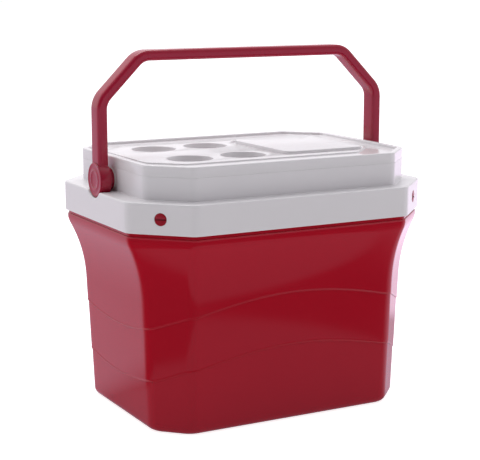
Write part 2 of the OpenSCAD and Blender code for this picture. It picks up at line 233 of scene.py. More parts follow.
# %% Sizes
collar_lo, collar_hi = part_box("collar")
cap_lo, cap_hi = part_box("handle_cap_right")
shell_hi, cover_hi, handle_hi, washer_hi = (
    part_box(name)[1] for name in ("outer_shell", "lid_cover", "handle", "pivot_washer_right"))

COLLAR_WALL = 3 * MM
LEDGE_Z = shell_hi.z + COLLAR_WALL
PIVOT_Z = (cap_lo.z + cap_hi.z) / 2
BAND = dict(half_l=collar_hi.x, half_w=collar_hi.y, cut=73 * MM, radius=20 * MM)
RISER = dict(half_l=cover_hi.x, half_w=cover_hi.y, cut=53 * MM, radius=20 * MM)
FOOT = dict(half_l=collar_hi.x - 37 * MM, half_w=collar_hi.y - 35 * MM,
            cut=46 * MM, radius=26 * MM)

# %% [markdown]
# ## The tub
#
# The tub leans out a little as it rises, flares under its lip, and has two shallow steps
# that wave round it, high in the middle of the front and low in the middle of the ends. A
# flat panel with a displacement map would lose the steps' crisp lower edges. So each point
# slides from the foot's outline to the lip's outline, by a share that depends on its
# height, and the grid's rows follow the waves.

# %% Tub profile
LIP_INSET = 3.4 * MM
LIP_BOTTOM, LIP_TOP = 0.285, 0.295
FLARE_BOTTOM, FLARE_POWER = 0.190, 2.2
TUB_DRAFT = 12 * MM
WAVE_STEP = 1.0 * MM
foot_line = plan(**FOOT)
lip_line = plan(**BAND, inset=LIP_INSET)
REACH = (BAND["half_l"] - LIP_INSET) - FOOT["half_l"]


def tub_share(z):
    """Straight draft plus a flare that grows as a power of the height, over the whole reach."""
    lean = TUB_DRAFT * np.clip(z / LIP_BOTTOM, 0, 1)
    rise = np.clip((z - FLARE_BOTTOM) / (LIP_BOTTOM - FLARE_BOTTOM), 0, 1)
    return (lean + rise ** FLARE_POWER * (REACH - TUB_DRAFT)) / REACH


def tub_row(z, out=0.0):
    """The foot outline moved towards the lip outline by the share, and out by a length."""
    share = np.broadcast_to(tub_share(z) + np.asarray(out) / REACH, len(foot_line))[:, None]
    return level(foot_line + share * (lip_line - foot_line), z)


def wave(middle, height):
    """A cosine with two crests in the way round, at the middles of the front and back."""
    step = np.linalg.norm(np.roll(lip_line, -1, 0) - lip_line, axis=1)
    travelled = np.concatenate([[0], np.cumsum(step)[:-1]])
    front = np.argmin(np.abs(lip_line[:, 0]) + lip_line[:, 1])
    turns = (travelled - travelled[front]) / step.sum()
    return middle + height * np.cos(4 * math.pi * turns)


low_wave = wave(middle=91.8 * MM, height=25.8 * MM)
high_wave = wave(middle=170.5 * MM, height=26.5 * MM)


def between(z0, z1, count, out):
    """Rows spaced evenly from one height to the next, without the last."""
    return [tub_row(z0 + (z1 - z0) * f, out) for f in even(count)]


def wave_edge(z, out):
    """A step that ends in a round bead: points on a circle that stands a little proud."""
    radius, proud, corner = 0.8 * MM, 0.35 * MM, 0.15 * MM
    centre = out + WAVE_STEP + proud - radius
    rows = [tub_row(z - corner, out)]
    for g in np.radians([-90, -60, -30, 0, 28, 56]):
        rows.append(tub_row(z + radius * (1 + math.sin(g)), centre + radius * math.cos(g)))
    return rows


# %% Tub skin
FOOT_RADIUS, LIP_RADIUS = 11 * MM, 2 * MM
SHELL_WALL, NECK_INSET = 2.5 * MM, 5 * MM


def make_tub():
    """Up the outside from the middle of the base, over the neck, and down the inside."""
    foot_out, above, below = -2 * WAVE_STEP, 4 * MM, 1.5 * MM
    rows = [tub_row(FOOT_RADIUS * (1 - c), foot_out - FOOT_RADIUS * (1 - s))
            for s, c in quarter(8)]
    rows += between(FOOT_RADIUS * 1.2, low_wave - below, 10, foot_out)
    rows += wave_edge(low_wave, foot_out)
    rows += between(low_wave + above, high_wave - below, 12, -WAVE_STEP)
    rows += wave_edge(high_wave, -WAVE_STEP)
    rows += between(high_wave + above, np.full(len(high_wave), LIP_BOTTOM), 30, 0)
    edge = LIP_RADIUS
    rows += [tub_row(LIP_BOTTOM + 3 * MM), tub_row(LIP_TOP - edge)]
    rows += [tub_row(LIP_TOP - edge * (1 - s), -edge * (1 - c)) for s, c in quarter(5)]
    neck = plan(**BAND, inset=NECK_INSET)
    inner_neck = plan(**BAND, inset=NECK_INSET + SHELL_WALL)
    rows += [level(neck, LIP_TOP), level(neck, shell_hi.z)]
    rows += [level(inner_neck, shell_hi.z), level(inner_neck, LIP_BOTTOM)]
    rows += [tub_row(z, foot_out - SHELL_WALL)
             for z in np.linspace(LIP_BOTTOM - SHELL_WALL, FOOT_RADIUS, 16)]
    rows.append(tub_row(SHELL_WALL, foot_out - FOOT_RADIUS))
    return capped(rows).build("tub")


tub = make_tub()
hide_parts("outer_shell")
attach(tub, "box")

# %% [markdown]
# ## The collar
#
# The collar is one white moulding: a band, a ledge and a riser. Its ledge has a round notch
# at each end for the handle's boss. Cutting the notch with a boolean would leave a ragged
# edge to bevel, so the ledge's rows dip instead: each point goes down to a circle round the
# pivot, and a smooth maximum rounds the notch's lips.

# %% Collar skin
BOSS_RADIUS = handle_hi.y
NOTCH_RADIUS = BOSS_RADIUS + 1.5 * MM
LINER_WALL = 2 * MM
MOUTH_INSET = COLLAR_WALL + 24 * MM
LEDGE_DEPTH = 16 * MM
BEAD_HEIGHT = 0.35 * MM


def notch_dip(row):
    """How far the ledge goes down: half the sum of the depth and its rounded size."""
    y = np.abs(row[:, 1])
    circle = PIVOT_Z - np.sqrt(np.maximum(NOTCH_RADIUS ** 2 - y ** 2, 0))
    depth = np.where(y < NOTCH_RADIUS, LEDGE_Z - circle, LEDGE_Z - PIVOT_Z)
    at_end = np.abs(row[:, 0]) > RISER["half_l"] - 1 * MM
    lip = 1.2 * MM
    return np.where(at_end, (depth + np.sqrt(depth ** 2 + lip ** 2)) / 2, 0)


def collar_row(outline, z, ledge=0.0):
    """A level row; ledge is the share of the notch's dip that it takes."""
    row = level(outline, z)
    row[:, 2] -= ledge * notch_dip(row)
    return row


def make_collar():
    """A closed profile: out under the band, up, over the ledge, up the riser and back.

    A low bead on the riser's top hides the shadow gap under the lid.
    """
    def band(inset):
        return plan(**BAND, inset=inset, spreads=COLLAR_SPREADS)

    def riser(inset):
        return plan(**RISER, inset=inset, spreads=COLLAR_SPREADS)

    z0, z1, top = collar_lo.z, LEDGE_Z, collar_hi.z
    foot, nose, root, crest = 0.8 * MM, 2.6 * MM, 1.6 * MM, 0.2 * MM
    rows = [level(band(COLLAR_WALL), z0)]
    rows += [level(band(foot * (1 - s)), z0 + foot * (1 - c)) for s, c in quarter()]
    rows += [collar_row(band(0), z0 + (z1 - nose - z0) * f, f) for f in even(8)[1:]]
    rows += [collar_row(band(nose * (1 - c)), z1 - nose * (1 - s), 1) for s, c in quarter(6)]
    rows += [collar_row(riser(-4 * MM), z1, 1)]
    rows += [collar_row(riser(-root * (1 - s)), z1 + root * (1 - c), 1) for s, c in quarter()]
    rows += [level(riser(0), z1 + (top - crest - z1) * f) for f in (0.3, 0.6, 0.85)]
    rows += [level(riser(crest * (1 - c)), top - crest * (1 - s)) for s, c in quarter()]
    bead, shelf, under = top + BEAD_HEIGHT, top - LINER_WALL, LEDGE_Z - LEDGE_DEPTH
    rows += [level(riser(inset), z) for inset, z in (
        (0.3 * MM, top), (0.35 * MM, bead), (2.3 * MM, bead), (2.35 * MM, top),
        (COLLAR_WALL, top), (COLLAR_WALL, shelf), (MOUTH_INSET, shelf),
        (MOUTH_INSET, shelf - COLLAR_WALL), (COLLAR_WALL, shelf - COLLAR_WALL),
        (COLLAR_WALL, under))]
    rows.append(level(band(COLLAR_WALL), under))
    skin = Skin()
    skin.grid(rows, wrap=True)
    return skin.build("collar_moulding")


collar = make_collar()
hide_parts("collar")
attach(collar, "box")

# %% [markdown]
# ## The lid
#
# The lid's top has a narrow raised rim, a trough inside it, and a deck that stands a little
# above the trough's floor. The deck holds four cup recesses, and a raised panel with a
# shallow moat round it. All of it is one skin: rows run from the underside round the skirt
# and the rim to the edge of the deck, the deck is filled round its holes, and each recess
# and the panel with its moat is a short skin that starts on its hole's own loop.

# %% Lid sizes
RIM_WIDTH, TROUGH_DEPTH, LID_WALL = 9 * MM, 5 * MM, 2.5 * MM
SKIRT_GAP = 0.4 * MM
PANEL_HEIGHT = 3.5 * MM
DECK_Z = cover_hi.z - PANEL_HEIGHT
RIM_Z = DECK_Z + 2.5 * MM
TROUGH_Z = RIM_Z - TROUGH_DEPTH
LID_UNDER_Z = TROUGH_Z - LID_WALL
CUP_RADIUS, CUP_DEPTH = 34.3 * MM, 14 * MM
CUP_PITCH = (89 * MM, 125 * MM)
CUP_GROUP_X = -78 * MM
PANEL_X, PANEL_HALF, PANEL_RADIUS = 98 * MM, (69.5 * MM, 88 * MM), 16 * MM
MOAT_WIDTH, MOAT_RADII = 9 * MM, np.array([43.5, 43.5, 25, 25]) * MM
DECK_RADIUS = 14 * MM
DECK = cut_rectangle(-198 * MM, 180.5 * MM, 114.8 * MM, 44 * MM)
CUP_CENTRES = [(CUP_GROUP_X + i * CUP_PITCH[0] / 2, j * CUP_PITCH[1] / 2)
               for i in (-1, 1) for j in (-1, 1)]


# %% Lid skin
def circle(centre, radius, z, count=96):
    """A level circle."""
    g = 2 * math.pi * even(count)
    return np.column_stack([centre[0] + radius * np.cos(g), centre[1] + radius * np.sin(g),
                            np.full(count, z)])


def panel_loop(inset, z, radii=PANEL_RADIUS):
    """The raised panel's rounded rectangle, moved in by inset."""
    corners = box_corners(PANEL_X, *(half - inset for half in PANEL_HALF))
    return level(rounded(corners, radii - inset, [even(16)] * 4, arc=10), z)


def moat_loop(inset, z):
    """The moat's outline round the panel: its wide right corners keep it on the deck."""
    return panel_loop(inset - MOAT_WIDTH, z, MOAT_RADII - MOAT_WIDTH)


def deck_loop(inset, z):
    """The deck's cut rectangle, moved in by inset."""
    return level(rounded(inset_corners(DECK, inset), DECK_RADIUS - inset, EVEN_SPREADS), z)


def inset_corners(corners, d):
    """Each corner moves in along the bisector, by d over the cosine of half the turn."""
    c = np.asarray(corners, float)
    ahead = np.roll(c, -1, 0) - c
    ahead /= np.linalg.norm(ahead, axis=1)[:, None]
    behind = np.roll(ahead, 1, 0)
    normal = np.stack([-(ahead + behind)[:, 1], (ahead + behind)[:, 0]], 1)
    normal /= np.linalg.norm(normal, axis=1)[:, None]
    cosine = (normal * np.stack([-ahead[:, 1], ahead[:, 0]], 1)).sum(1)
    return c + normal * (d / cosine)[:, None]


def cup_rows(centre):
    """Over a rounded edge, down the wall, and through a fillet to the floor."""
    edge, fillet, floor = 1.2 * MM, 3 * MM, DECK_Z - CUP_DEPTH
    rows = [circle(centre, CUP_RADIUS + edge * (1 - s), DECK_Z - edge * (1 - c))
            for s, c in quarter()]
    rows += [circle(centre, CUP_RADIUS - fillet * (1 - c), floor + fillet * (1 - s))
             for s, c in quarter()]
    return rows


def make_lid_cover():
    """The underside, skirt, rim, trough and deck, with the recesses and the panel."""
    def riser(inset, z):
        return level(plan(**RISER, inset=inset), z)

    z0, foot, rim = collar_hi.z + SKIRT_GAP, 0.2 * MM, 2.4 * MM
    root, edge = 1.5 * MM, 1.0 * MM
    rows = [riser(LID_WALL, LID_UNDER_Z), riser(LID_WALL, z0)]
    rows += [riser(foot * (1 - s), z0 + foot * (1 - c)) for s, c in quarter()]
    rows += [riser(rim * (1 - c), RIM_Z - rim * (1 - s)) for s, c in quarter(6)]
    rows += [riser(RIM_WIDTH - rim * (1 - s), RIM_Z - rim * (1 - c)) for s, c in quarter(6)]
    rows += [riser(RIM_WIDTH + root * (1 - c), TROUGH_Z + root * (1 - s)) for s, c in quarter()]
    rows += [deck_loop(-root * (1 - s), TROUGH_Z + root * (1 - c)) for s, c in quarter(3)[:3]]
    rows += [deck_loop(edge * (1 - c), DECK_Z - edge * (1 - s)) for s, c in quarter()]
    skin = Skin()
    skin.grid(rows)
    top, under = rows[-1], rows[0]
    moat = [moat_loop(0, DECK_Z), moat_loop(0.1 * MM, DECK_Z - 0.05 * MM),
            moat_loop(0.3 * MM, DECK_Z - 0.3 * MM), moat_loop(0.5 * MM, TROUGH_Z),
            panel_loop(-0.2 * MM, TROUGH_Z)]
    skin.fill(top, [cup_rows(c)[0] for c in CUP_CENTRES] + [moat[0]], upwards=True)
    nose = 1.2 * MM
    panel = moat + [panel_loop(nose * (1 - c), cover_hi.z - nose * (1 - s))
                    for s, c in quarter(5)]
    skin.grid(panel)
    skin.pole(panel[-1], first=False)
    for centre in CUP_CENTRES:
        rows = cup_rows(centre)
        skin.grid(rows)
        skin.pole(rows[-1], first=False)
    cups = [[circle(c, CUP_RADIUS, DECK_Z - CUP_DEPTH - LID_WALL),
             circle(c, CUP_RADIUS + LID_WALL, DECK_Z - CUP_DEPTH),
             circle(c, CUP_RADIUS + LID_WALL, LID_UNDER_Z)] for c in CUP_CENTRES]
    skin.fill(under, [c[-1] for c in cups], upwards=False)
    for rows in cups:
        skin.grid(rows)
        skin.pole(rows[0], first=True)
    return skin.build("lid_top")


lid_top = make_lid_cover()
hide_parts("lid_cover")
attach(lid_top, "lid")

# %% [markdown]
# ## The liners
#
# Two white liners close the insulation in: a tapered tub inside the box and a plug under the
# lid. They show only when the lid is lifted. Each is again one skin over its profile, so the
# same rows make both, with a generous fillet where food would collect.

# %% Liner skins
liner_lo, liner_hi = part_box("inner_liner")
plug_lo, plug_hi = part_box("lid_liner")
LINER_DRAFT = 16 * MM


def make_inner_liner():
    """Up the outside, out and back over the flange, and down the inside to the floor."""
    height = collar_hi.z - liner_lo.z

    def wall(z, inset=0.0):
        lean = LINER_DRAFT * (collar_hi.z - z) / height
        return level(plan(**RISER, inset=MOUTH_INSET + lean + inset), z)

    def flange(z):
        return level(plan(**RISER, inset=COLLAR_WALL), z)

    top, under, fillet, edge = liner_hi.z, liner_hi.z - LINER_WALL, 14 * MM, 1.5 * MM
    floor = liner_lo.z + LINER_WALL
    rows = [wall(liner_lo.z, fillet), wall(liner_lo.z + fillet), wall(under)]
    rows += [flange(under), flange(top)]
    rows += [wall(top - edge * (1 - c), LINER_WALL - edge * (1 - s)) for s, c in quarter()]
    rows += [wall(floor + fillet * (1 - s), LINER_WALL + fillet * (1 - c))
             for s, c in quarter(8)]
    return capped(rows).build("food_liner")


def make_lid_liner():
    """Round the plug's lower edge, up to the flange, over it, and back down inside."""
    def flange(z):
        return level(plan(**RISER, inset=LID_WALL), z)

    taper = LINER_DRAFT * (collar_hi.z - plug_lo.z) / (collar_hi.z - liner_lo.z)
    gap = 1.5 * MM

    def wall(inset, z):
        return level(plan(**RISER, inset=MOUTH_INSET + LINER_WALL + taper + gap + inset), z)

    edge, inner = 5 * MM, plug_lo.z + LINER_WALL
    rows = [wall(edge * (1 - s), plug_lo.z + edge * (1 - c)) for s, c in quarter(6)]
    rows += [wall(0, collar_hi.z), flange(collar_hi.z), flange(plug_hi.z)]
    rows += [wall(LINER_WALL, plug_hi.z), wall(LINER_WALL, inner + edge), wall(edge, inner)]
    return capped(rows).build("lid_plug")


liner = make_inner_liner()
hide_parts("inner_liner")
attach(liner, "box")
lid_plug = make_lid_liner()
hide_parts("lid_liner")
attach(lid_plug, "lid")

# %% [markdown]
# ## The handle
#
# The bail is one bar with a rounded rectangular section, bent at four places, with a round
# boss at each end. A curve with a bevel profile would twist at the bends, so the section is
# carried along the path with its own two directions. The bosses are turned shapes. The
# pieces are joined and bored with booleans, because a boss and a leg meet on no shared row.


# %% Helpers for turned and joined pieces
def turned(profile, x_axis_at, side=1, count=96):
    """A profile of (radius, distance) turned about a line along X through a (y, z) place."""
    g = 2 * math.pi * even(count)[None, :]
    r, x = (np.array(profile, float)[:, k][:, None] for k in (0, 1))
    y, z = x_axis_at
    shape = np.broadcast_to(x, (len(profile), count))
    return np.stack([side * shape, y + r * np.cos(g), z + r * np.sin(g) * side], -1)


def join(target, tool, operation):
    """Applies an exact boolean, then removes the tool."""
    modifier = target.modifiers.new("join", "BOOLEAN")
    modifier.operation, modifier.object, modifier.solver = operation, tool, "EXACT"
    depsgraph = bpy.context.evaluated_depsgraph_get()
    made = bpy.data.meshes.new_from_object(target.evaluated_get(depsgraph))
    target.modifiers.clear()
    target.data = made
    bpy.data.objects.remove(tool)
    return target


def closed(rows, name):
    """A piece with a pole at each end, facing outwards."""
    obj = capped(rows).build(name)
    bm = bmesh.new()
    bm.from_mesh(obj.data)
    bmesh.ops.recalc_face_normals(bm, faces=bm.faces)
    bm.to_mesh(obj.data)
    bm.free()
    return obj


# %% Handle skin
BAIL_T, BAIL_W = 16 * MM, 29 * MM
BEND_RADIUS = 30 * MM
HUB_RADIUS, BORE_RADIUS, PIN_BORE = 16 * MM, 14 * MM, 6.05 * MM
SHOULDER = 352.78 * MM
SECTION_RADIUS = 4.5 * MM
leg_x = handle_hi.x - BAIL_T / 2
bar_z = handle_hi.z - BAIL_T / 2


def bail_path():
    """From one pivot up the leg, over the slanting shoulders and down the other leg."""
    rise = PIVOT_Z + SHOULDER
    corners = np.array([[leg_x, PIVOT_Z], [leg_x, rise - leg_x], [rise - bar_z, bar_z],
                        [bar_z - rise, bar_z], [-leg_x, rise - leg_x], [-leg_x, PIVOT_Z]])
    radii = [0, BEND_RADIUS, BEND_RADIUS, BEND_RADIUS, BEND_RADIUS, 0]
    spreads = [even(10), even(12), even(30), even(12), even(10), [0]]
    arc = 12
    return rounded(corners, radii, spreads, arc)[arc:-arc]


def bail_section():
    """A rounded rectangle of (across, back) distances, the thickness by the width."""
    corners = box_corners(0, BAIL_T / 2, BAIL_W / 2)
    return rounded(corners, SECTION_RADIUS, [even(3)] * 4, arc=6)


def make_handle():
    """The section carried along the path, joined to bosses with hubs and bored for the pins."""
    path, section = bail_path(), bail_section()
    ahead = np.gradient(path, axis=0)
    ahead /= np.linalg.norm(ahead, axis=1)[:, None]
    across = np.stack([ahead[:, 1], np.zeros(len(path)), -ahead[:, 0]], 1)
    spine = np.stack([path[:, 0], np.zeros(len(path)), path[:, 1]], 1)
    rows = (spine[:, None] + section[None, :, :1] * across[:, None]
            + section[None, :, 1:] * np.array([0, 1, 0]))
    bail = closed(rows, "bail")
    inner, outer, nose, edge = washer_hi.x + 0.3 * MM, handle_hi.x, 1.5 * MM, 0.4 * MM
    leg_in = outer - BAIL_T
    boss = [(HUB_RADIUS, inner), (HUB_RADIUS, leg_in)]
    boss += [(BOSS_RADIUS - nose * (1 - s), leg_in + nose * (1 - c)) for s, c in quarter()]
    boss += [(BOSS_RADIUS - edge * (1 - c), outer - edge * (1 - s)) for s, c in quarter(2)]
    bore_end, past = outer - 7 * MM, 5 * MM
    drill = [(PIN_BORE, inner - past), (PIN_BORE, bore_end),
             (BORE_RADIUS, bore_end), (BORE_RADIUS, outer + past)]
    for side in (1, -1):
        join(bail, closed(turned(boss, (0, PIVOT_Z), side), "boss"), "UNION")
        join(bail, closed(turned(drill, (0, PIVOT_Z), side), "drill"), "DIFFERENCE")
    bail.data.set_sharp_from_angle(angle=math.radians(35))
    return bail


bail = make_handle()
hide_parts("handle")
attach(bail, "bail")

# %% [markdown]
# ## Caps and screws
#
# A round cap covers each pivot. Its face is dished inside a fine raised ring, which a turned
# profile gives directly. The corner screws are turned too, with a driver slot cut across the
# head.


# %% Caps and screws
def make_cap(side):
    """A disc with a soft edge, a fine ring and a shallow dish, and a skirt behind it."""
    x0, x1 = handle_hi.x, cap_hi.x
    r, ring, skirt_out, skirt_in = BOSS_RADIUS, BOSS_RADIUS - 12 * MM, BORE_RADIUS, 12 * MM
    nose, edge, shoulder = 1.0 * MM, 0.3 * MM, x1 - 0.2 * MM
    profile = [(skirt_in, x0), (skirt_in, cap_lo.x), (skirt_out, cap_lo.x), (skirt_out, x0)]
    profile += [(r - edge, x0), (r, x0 + edge)]
    profile += [(r - nose * (1 - c), shoulder - nose * (1 - s)) for s, c in quarter(5)]
    # Pairs of a radius and how many millimetres it lies below the ring's crest
    face = [(r - 2.2 * MM, 0.2), (r - 2.8 * MM, 0.6), (ring + 2.4 * MM, 0.6),
            (ring + 1.2 * MM, 0.1), (ring + 0.6 * MM, 0), (ring, 0.1), (ring - 1.2 * MM, 0.7),
            (ring * 0.5, 0.9), (1 * MM, 1.0)]
    profile += [(radius, x1 - down * MM) for radius, down in face]
    name = "pivot_cap_right" if side > 0 else "pivot_cap_left"
    return closed(turned(profile, (0, PIVOT_Z), side), name)


for side, word in ((1, "right"), (-1, "left")):
    cap = make_cap(side)
    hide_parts(f"handle_cap_{word}")
    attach(cap, "bail")

SCREW_HEAD, SCREW_SHANK, SLOT, SEAT_DEPTH = 9 * MM, 4 * MM, 2.2 * MM, 2 * MM


def to_corner(obj, corner):
    """Turns a piece made along X to face out of a corner of the band, and moves it there."""
    lo, hi = corner
    sx, sy = math.copysign(1, lo.x + hi.x), math.copysign(1, lo.y + hi.y)
    at = np.array([sx * (collar_hi.x - BAND["cut"] / 2), sy * (collar_hi.y - BAND["cut"] / 2),
                   (lo.z + hi.z) / 2])
    a = math.atan2(sy, sx)
    turn = np.array([[math.cos(a), -math.sin(a), 0], [math.sin(a), math.cos(a), 0], [0, 0, 1]])
    co = np.empty(len(obj.data.vertices) * 3)
    obj.data.vertices.foreach_get("co", co)
    obj.data.vertices.foreach_set("co", (co.reshape(-1, 3) @ turn.T + at).ravel())
    return obj


def make_screw(name, corner):
    """A domed head and a shank on an axis along X, slotted, then turned to its corner."""
    dome, proud, edge, edge_share = 1.1 * MM, 0.6 * MM, 0.8 * MM, 0.12
    profile = [(SCREW_SHANK * 0.6, -22 * MM), (SCREW_SHANK, -20 * MM),
               (SCREW_SHANK, -SEAT_DEPTH), (SCREW_HEAD, -SEAT_DEPTH), (SCREW_HEAD, proud - edge)]
    profile += [(SCREW_HEAD * (1 - edge_share * (1 - c)), proud - edge * (1 - s))
                for s, c in quarter()[1:]]
    profile += [(SCREW_HEAD * f, proud + dome * (0.78 - f * f)) for f in (0.7, 0.45, 0.2)]
    screw = closed(turned(profile, (0, 0), 1, 64), name)
    slot = closed(slot_rows(), "slot")
    join(screw, slot, "DIFFERENCE")
    screw.data.set_sharp_from_angle(angle=math.radians(35))
    return to_corner(screw, corner)


def sink(corner):
    """Cuts the seat of a screw's head, and a hole for its shank, in the collar."""
    gap, behind, ahead = 0.2 * MM, -8 * MM, 6 * MM
    profile = [(SCREW_SHANK + gap, behind), (SCREW_SHANK + gap, -SEAT_DEPTH),
               (SCREW_HEAD + gap, -SEAT_DEPTH), (SCREW_HEAD + gap, ahead)]
    seat = closed(turned(profile, (0, 0), 1, 64), "seat")
    join(collar, to_corner(seat, corner), "DIFFERENCE")


def slot_rows():
    """A bar across the head, with its floor a little below the band's face."""
    floor, top, half = -0.9 * MM, 6 * MM, SCREW_HEAD + 2 * MM
    corners = [(-half, -SLOT / 2), (half, -SLOT / 2), (half, SLOT / 2), (-half, SLOT / 2)]
    loop = rounded(corners, 0.3 * MM, [even(3)] * 4, arc=2)
    return [np.column_stack([np.full(len(loop), x), loop[:, 0], loop[:, 1]])
            for x in (floor, top)]


for fb in ("front", "back"):
    for lr in ("left", "right"):
        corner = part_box(f"screw_{fb}_{lr}")
        sink(corner)
        screw = make_screw(f"corner_screw_{fb}_{lr}", corner)
        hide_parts(f"screw_{fb}_{lr}")
        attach(screw, "box")
collar.data.set_sharp_from_angle(angle=math.radians(50))

# %% [markdown]
# ## Finishes
#
# All the outer pieces are glossy moulded plastic. What tells it from paint is a faint
# unevenness: the polish wavers a little, the colour is cloudy by a hair, and fine scuffs
# catch the light. Three plastics share these, so they are one node group with its own
# values in each material.


# %% Node helpers
def link(tree, a, b):
    """Joins an output socket to an input socket."""
    tree.links.new(a, b)


def node(tree, kind, at, **values):
    """A node at a place in the editor, with named inputs or properties set."""
    made = tree.nodes.new(kind)
    made.location = at
    for key, value in values.items():
        if key in made.inputs:
            made.inputs[key].default_value = value
        else:
            setattr(made, key.lower(), value)
    return made


def moulded_group():
    """Cloudy colour, wavering roughness and a height for the skin of a moulding."""
    g = bpy.data.node_groups.new("moulded_skin", "ShaderNodeTree")
    face = g.interface
    sockets = [("Colour", "NodeSocketColor"), ("Cloud", "NodeSocketFloat"),
               ("Roughness", "NodeSocketFloat"), ("Waver", "NodeSocketFloat"),
               ("Scuffs", "NodeSocketFloat"), ("Grain", "NodeSocketFloat")]
    for name, kind in sockets:
        face.new_socket(name, in_out="INPUT", socket_type=kind)
    for name, kind in (("Colour", "NodeSocketColor"), ("Roughness", "NodeSocketFloat"),
                       ("Height", "NodeSocketFloat")):
        face.new_socket(name, in_out="OUTPUT", socket_type=kind)
    into, out = node(g, "NodeGroupInput", (-900, 0)), node(g, "NodeGroupOutput", (700, 0))
    place = node(g, "ShaderNodeTexCoord", (-900, -400))
    clouds = node(g, "ShaderNodeTexNoise", (-600, 200), Scale=9.0, Detail=3.0)
    grain = node(g, "ShaderNodeTexNoise", (-600, -400), Scale=420.0, Detail=2.0)
    stretch = node(g, "ShaderNodeMapping", (-700, -150), Scale=(9.0, 60.0, 240.0))
    scuffs = node(g, "ShaderNodeTexNoise", (-500, -150), Scale=3.0, Detail=5.0)
    for texture in (clouds, grain, stretch):
        link(g, place.outputs["Object"], texture.inputs["Vector"])
    link(g, stretch.outputs["Vector"], scuffs.inputs["Vector"])

    def spread(source, amount, at):
        centred = node(g, "ShaderNodeMath", at, operation="SUBTRACT")
        centred.inputs[1].default_value = 0.5
        scaled = node(g, "ShaderNodeMath", (at[0] + 160, at[1]), operation="MULTIPLY")
        link(g, source, centred.inputs[0])
        link(g, centred.outputs[0], scaled.inputs[0])
        link(g, amount, scaled.inputs[1])
        return scaled.outputs[0]

    value = node(g, "ShaderNodeHueSaturation", (200, 200))
    lift = node(g, "ShaderNodeMath", (60, 260), operation="ADD")
    lift.inputs[1].default_value = 1.0
    link(g, spread(clouds.outputs[0], into.outputs["Cloud"], (-300, 260)), lift.inputs[0])
    link(g, lift.outputs[0], value.inputs["Value"])
    link(g, into.outputs["Colour"], value.inputs["Color"])
    link(g, value.outputs["Color"], out.inputs["Colour"])
    rough = node(g, "ShaderNodeMath", (60, -20), operation="ADD")
    worn = node(g, "ShaderNodeMath", (240, -20), operation="ADD")
    worn.use_clamp = True
    link(g, into.outputs["Roughness"], rough.inputs[0])
    link(g, spread(clouds.outputs[0], into.outputs["Waver"], (-300, 0)), rough.inputs[1])
    link(g, rough.outputs[0], worn.inputs[0])
    link(g, spread(scuffs.outputs[0], into.outputs["Scuffs"], (-300, -180)), worn.inputs[1])
    link(g, worn.outputs[0], out.inputs["Roughness"])
    height = node(g, "ShaderNodeMath", (240, -400), operation="MULTIPLY")
    link(g, grain.outputs[0], height.inputs[0])
    link(g, into.outputs["Grain"], height.inputs[1])
    link(g, height.outputs[0], out.inputs["Height"])
    return g


MOULDED = moulded_group()


def plastic(name, colour, roughness, cloud=0.05, waver=0.05, scuffs=0.04, grain=1.0,
            bump=0.02, ior=1.5):
    """A moulded plastic: the shared group feeds one Principled shader."""
    material = bpy.data.materials.new(name)
    material.use_nodes = True
    tree = material.node_tree
    shader = tree.nodes["Principled BSDF"]
    shader.inputs["IOR"].default_value = ior
    group = node(tree, "ShaderNodeGroup", (-600, 200))
    group.node_tree = MOULDED
    for key, value in (("Colour", (*colour, 1)), ("Roughness", roughness), ("Cloud", cloud),
                       ("Waver", waver), ("Scuffs", scuffs), ("Grain", grain)):
        group.inputs[key].default_value = value
    relief = node(tree, "ShaderNodeBump", (-300, -200), Strength=bump, Distance=0.2 * MM)
    link(tree, group.outputs["Colour"], shader.inputs["Base Color"])
    link(tree, group.outputs["Roughness"], shader.inputs["Roughness"])
    link(tree, group.outputs["Height"], relief.inputs["Height"])
    link(tree, relief.outputs["Normal"], shader.inputs["Normal"])
    return material


# %% Paint the pieces
RED_TUB = (0.42, 0.002, 0.014)
RED_HANDLE = (0.35, 0.003, 0.028)
WHITE = (0.78, 0.77, 0.78)
tub_red = plastic("tub_red", RED_TUB, 0.10)
handle_red = plastic("handle_red", RED_HANDLE, 0.16)
screw_red = plastic("screw_red", (0.32, 0.002, 0.014), 0.22)
collar_white = plastic("collar_white", WHITE, 0.22, cloud=0.02)
lid_white = plastic("lid_white", WHITE, 0.15, cloud=0.02)
liner_white = plastic("liner_white", WHITE, 0.30, cloud=0.02)
acetal = plastic("acetal", (0.76, 0.75, 0.72), 0.42, cloud=0.03)
foam = plastic("foam", (0.82, 0.78, 0.62), 0.85, cloud=0.12, grain=4.0, bump=0.5)
steel = plastic("steel", (0.52, 0.52, 0.54), 0.32, cloud=0.06, scuffs=0.15)
steel.node_tree.nodes["Principled BSDF"].inputs["Metallic"].default_value = 1.0

FINISH = {
    "tub": tub_red, "bail": handle_red, "pivot_cap": handle_red, "corner_screw": screw_red,
    "collar_moulding": collar_white, "lid_top": lid_white, "food_liner": liner_white,
    "lid_plug": liner_white, "body_foam": foam, "lid_foam": foam, "pivot_pin": steel,
    "pivot_clip": steel, "pivot_washer": acetal, "pivot_bush": acetal, "anchor": acetal,
}
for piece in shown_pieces():
    finish = next(m for start, m in FINISH.items() if piece.name.startswith(start))
    piece.data.materials.clear()
    piece.data.materials.append(finish)

# %% [markdown]
# ## Floor, light and camera
#
# The box stands on a plain white floor in a white studio. Around it the room is bright
# behind and above and dimmer in front, which is what gives glossy red plastic its depth.
# Gloss sees the floor as a pattern of bright and dim parts too, while the camera sees it an
# even white. Painting the room in shaders keeps every side free for the camera, where real
# backdrops would be in its way.


# %% Floor
DARK_SIDE = (-0.477, -0.879, 0.0)
ROOM_TINT = (0.98, 0.95, 1.0, 1)
GLARE_TINT = (0.95, 0.80, 1.0, 1)


